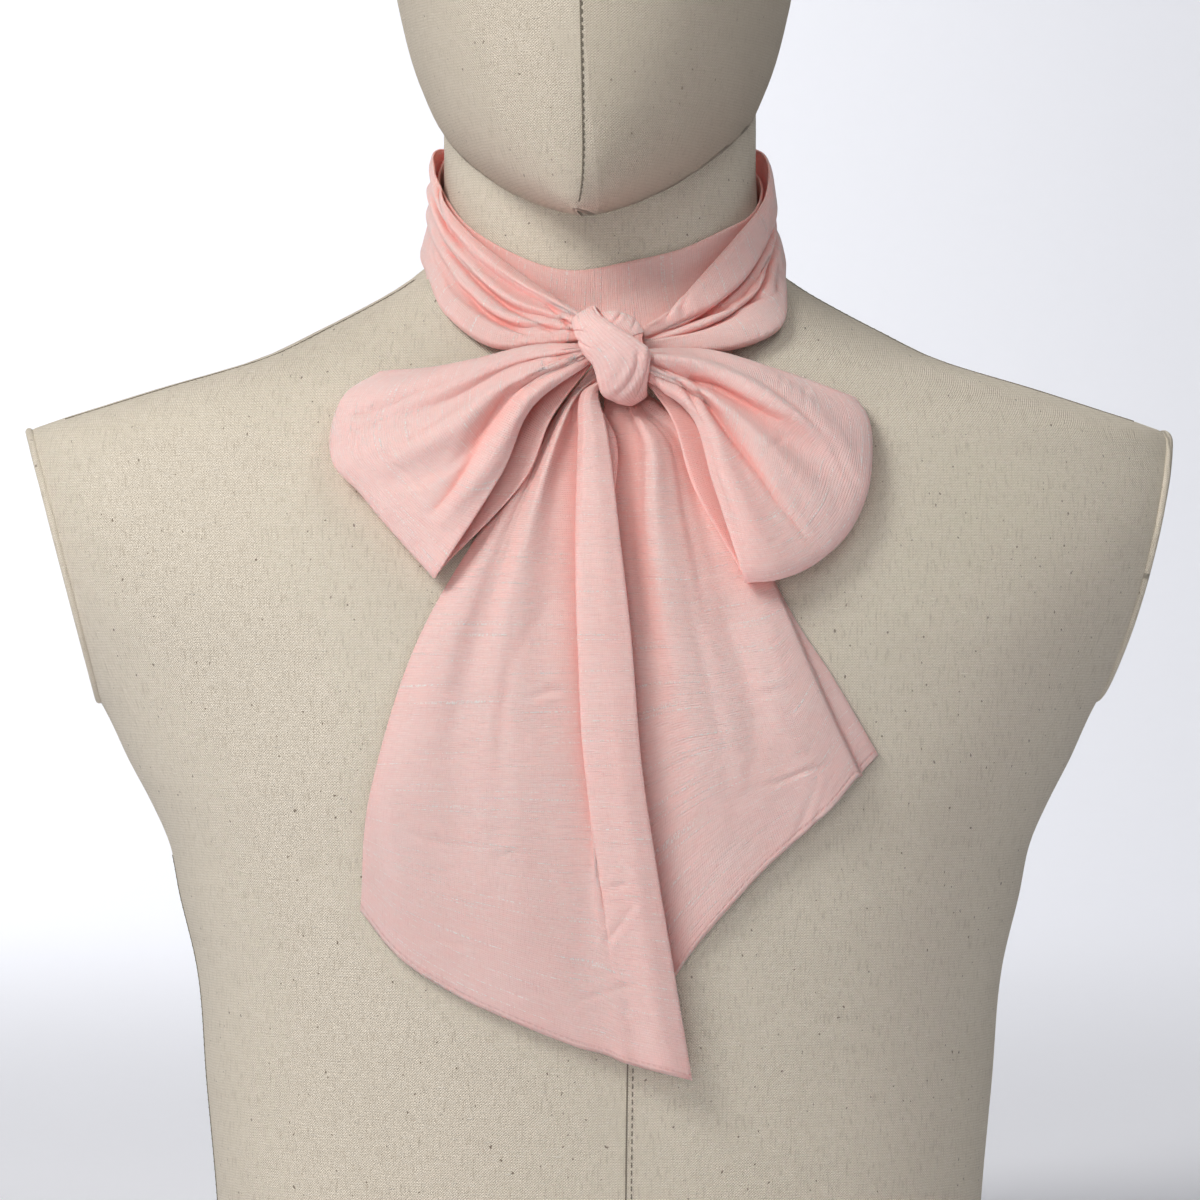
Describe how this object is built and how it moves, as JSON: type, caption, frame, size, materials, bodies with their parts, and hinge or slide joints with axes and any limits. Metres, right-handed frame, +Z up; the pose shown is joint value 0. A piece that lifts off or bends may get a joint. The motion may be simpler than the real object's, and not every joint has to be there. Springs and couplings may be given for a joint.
{
  "type": "cravat on a dress form",
  "caption": "Soft pink cravat wound round the neck of a limbless linen dress form and tied at the throat in a bow with long hanging tails.",
  "frame": {"origin": "centre of the flat foot that the dress form stands on", "axes": "+Z up, the form and the bow face -Y, +X to the viewer's right"},
  "size_m": [0.4257, 0.2362, 0.6265],
  "materials": {
    "linen": "coarse woven linen, matt",
    "arm_plate": "matt off-white",
    "pink_cloth": "light slub weave with a soft sheen"
  },
  "bodies": {
    "root": {"form_body": "linen", "arm_plate_left": "arm_plate", "arm_plate_right": "arm_plate", "throat_band": "pink_cloth", "left_wrap": "pink_cloth", "right_wrap": "pink_cloth", "knot_band": "pink_cloth", "knot_core": "pink_cloth", "knot_back_turn": "pink_cloth", "left_loop": "pink_cloth", "right_loop": "pink_cloth", "front_tail": "pink_cloth", "back_tail": "pink_cloth"}
  },
  "joints": []
}
